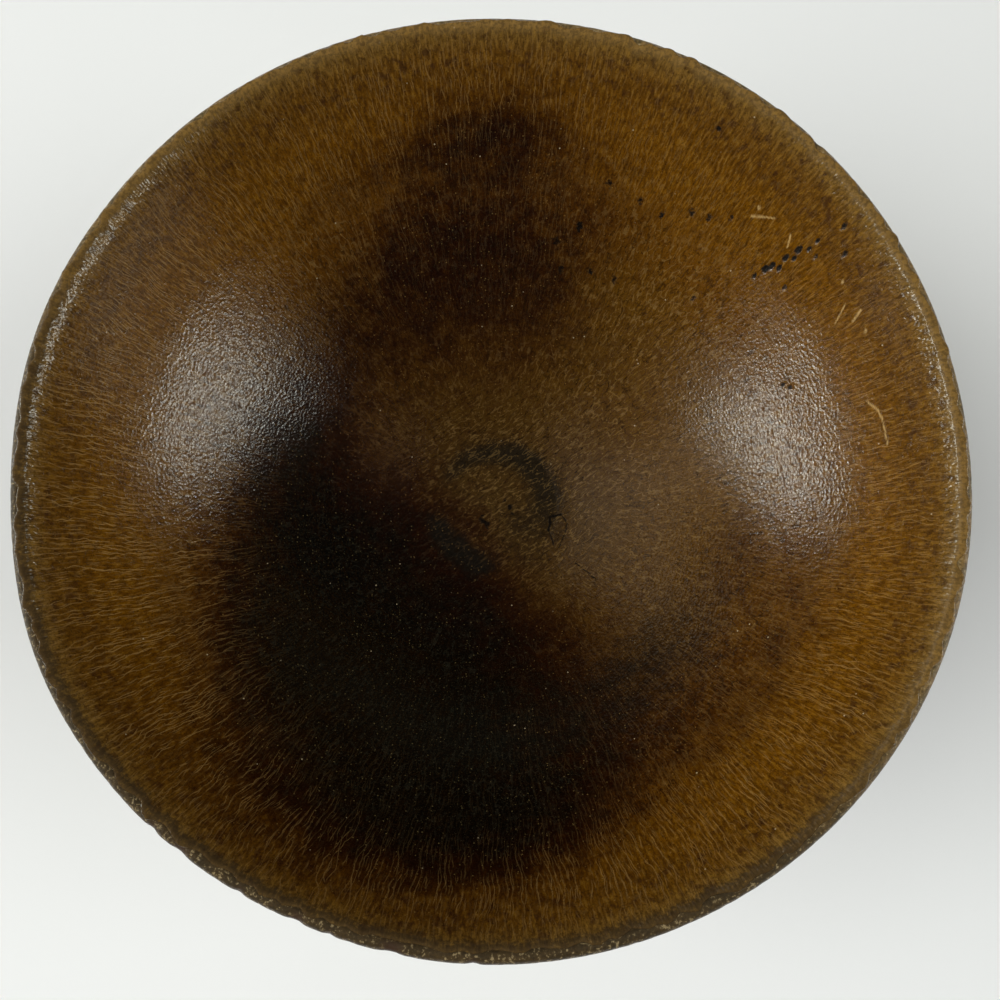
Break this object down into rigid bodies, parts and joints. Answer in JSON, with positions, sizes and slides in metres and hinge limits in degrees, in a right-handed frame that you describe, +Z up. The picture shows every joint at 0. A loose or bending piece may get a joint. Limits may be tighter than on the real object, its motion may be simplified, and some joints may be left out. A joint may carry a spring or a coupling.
{
  "type": "pedestal tea bowl",
  "caption": "Stoneware tea bowl with a flared lip on a hollow pedestal foot, coated inside and out in streaked brown glaze that ends above the foot in a wavy roll.",
  "frame": {"origin": "centre of the flat ring that the foot stands on", "axes": "+Z up along the bowl's axis of turning, through the middle of the mouth; +X to the right and +Y away in the picture"},
  "size_m": [0.12, 0.12, 0.0704],
  "materials": {
    "stoneware": "matte",
    "slip": "matte",
    "inner_glaze": "gloss",
    "outer_glaze": "gloss",
    "lip_glaze": "satin"
  },
  "bodies": {
    "root": {"bowl_body": "stoneware", "pedestal_foot": "stoneware", "luting_slip": "slip", "inner_glaze": "inner_glaze", "outer_glaze": "outer_glaze", "lip_glaze": "lip_glaze"}
  },
  "joints": []
}
